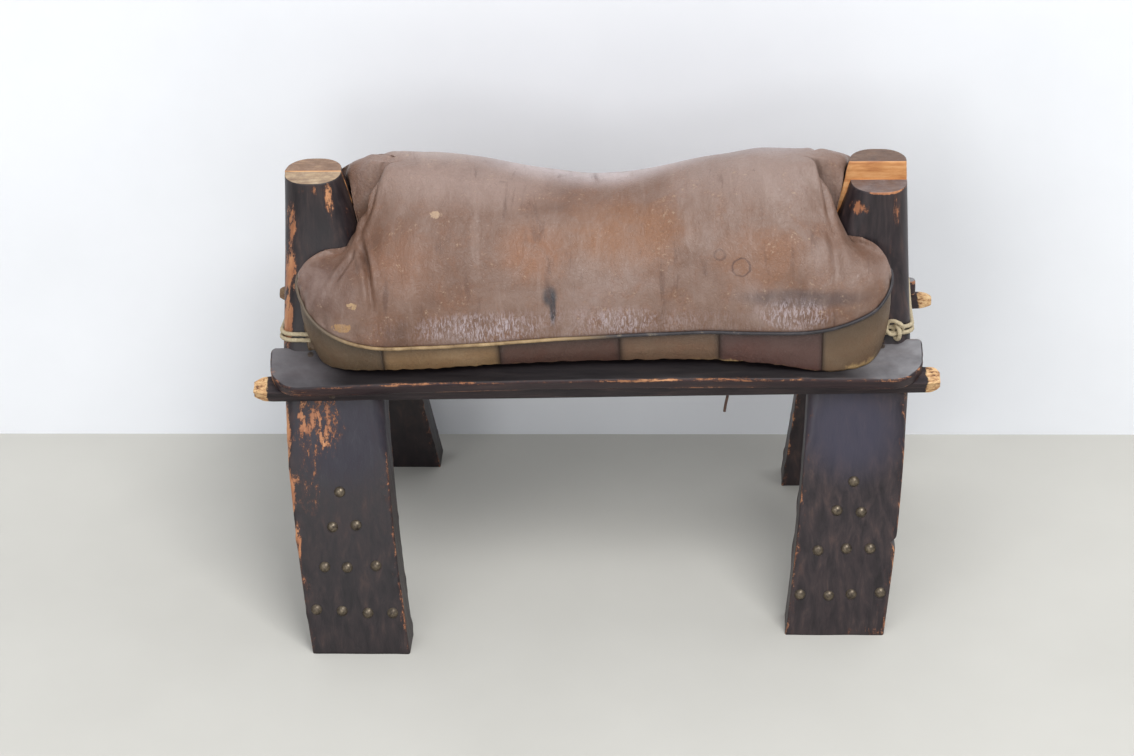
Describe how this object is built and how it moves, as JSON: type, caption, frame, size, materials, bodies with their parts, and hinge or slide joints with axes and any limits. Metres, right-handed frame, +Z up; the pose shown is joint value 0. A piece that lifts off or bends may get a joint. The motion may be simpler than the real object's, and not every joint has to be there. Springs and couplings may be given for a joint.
{
  "type": "camel saddle stool",
  "caption": "Low saddle stool: paired arched plank legs that meet in rounded pommels, sloping side boards with rails under them, and a stuffed leather saddle cushion tied between the pommels.",
  "frame": {"origin": "on the floor, under the middle of the stool", "axes": "+Z up, +X along the seat to the right pommel, -Y towards the front with the lace"},
  "size_m": [0.7121, 0.402, 0.4801],
  "materials": {
    "stained_wood": "dark stain over sawn hardwood, rubbed and scuffed",
    "raw_wood": "raw hardwood",
    "cushion_leather": "worn goat leather, tan to reddish brown",
    "stuffing": "packed straw and cotton waste",
    "stud_metal": "tarnished domed heads",
    "nail_steel": "dull iron",
    "tie_cord": "cream twisted cotton",
    "lace_leather": "dry brown thong"
  },
  "bodies": {
    "frame": {"left_front_leg": "stained_wood", "left_front_studs": "stud_metal", "left_back_leg": "stained_wood", "left_back_studs": "stud_metal", "left_yoke_pegs": "raw_wood", "right_front_leg": "stained_wood", "right_front_studs": "stud_metal", "right_back_leg": "stained_wood", "right_back_studs": "stud_metal", "right_yoke_pegs": "raw_wood", "front_board": "stained_wood", "front_rail": "stained_wood", "back_board": "stained_wood", "back_rail": "stained_wood", "board_nails": "nail_steel", "rail_nails": "nail_steel", "lace_tack": "nail_steel", "lace": "lace_leather"},
    "cushion": {"cushion_filling": "stuffing", "cushion_top_panel": "cushion_leather", "cushion_bottom_panel": "cushion_leather", "front_band_1": "cushion_leather", "front_band_2": "cushion_leather", "front_band_3": "cushion_leather", "front_band_4": "cushion_leather", "front_band_5": "cushion_leather", "front_band_6": "cushion_leather", "back_band_1": "cushion_leather", "back_band_2": "cushion_leather", "back_band_3": "cushion_leather", "back_band_4": "cushion_leather", "back_band_5": "cushion_leather", "back_band_6": "cushion_leather", "left_tie": "tie_cord", "left_tie_knot": "tie_cord", "right_tie": "tie_cord", "right_tie_knot": "tie_cord"}
  },
  "joints": [
    {"name": "cushion_lift", "type": "slide", "parent": "frame", "child": "cushion", "axis": [0, 0, 1], "range_m": [0, 0.2]}
  ]
}
